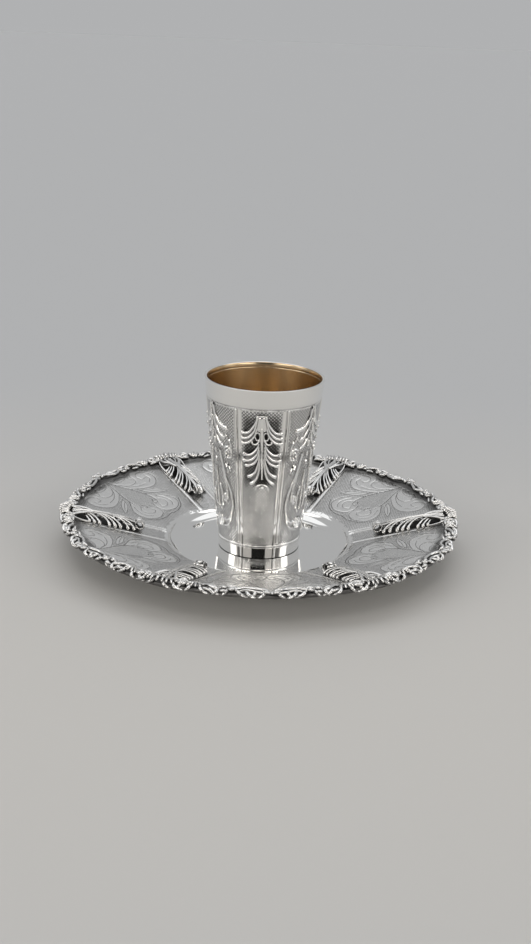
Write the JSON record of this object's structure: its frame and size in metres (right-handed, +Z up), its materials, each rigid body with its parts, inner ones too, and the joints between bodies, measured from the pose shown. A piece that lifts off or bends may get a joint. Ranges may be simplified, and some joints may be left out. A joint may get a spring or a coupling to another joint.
{
  "type": "kiddush cup",
  "caption": "Tapering silver kiddush cup with hanging acanthus leaves and chased scroll panels, standing on its matching lobed saucer with a cast scroll border.",
  "frame": {"origin": "middle of the saucer's flat underside", "axes": "+Z up along the cup's axis; -Y is the front, where a panel of the saucer and a leaf of the cup face"},
  "size_m": [0.2056, 0.2052, 0.0908],
  "materials": {
    "chased_silver": "polished silver with matted and engraved grounds, gilt inside the cup",
    "cast_silver": "polished cast silver with dark oxidised hollows"
  },
  "bodies": {
    "root": {"cup_body": "chased_silver", "cup_leaf_1": "cast_silver", "cup_leaf_2": "cast_silver", "cup_leaf_3": "cast_silver", "saucer_dish": "chased_silver", "saucer_border": "cast_silver", "saucer_leaf_1": "cast_silver", "saucer_leaf_2": "cast_silver", "saucer_leaf_3": "cast_silver", "saucer_leaf_4": "cast_silver", "saucer_leaf_5": "cast_silver", "saucer_leaf_6": "cast_silver"}
  },
  "joints": []
}
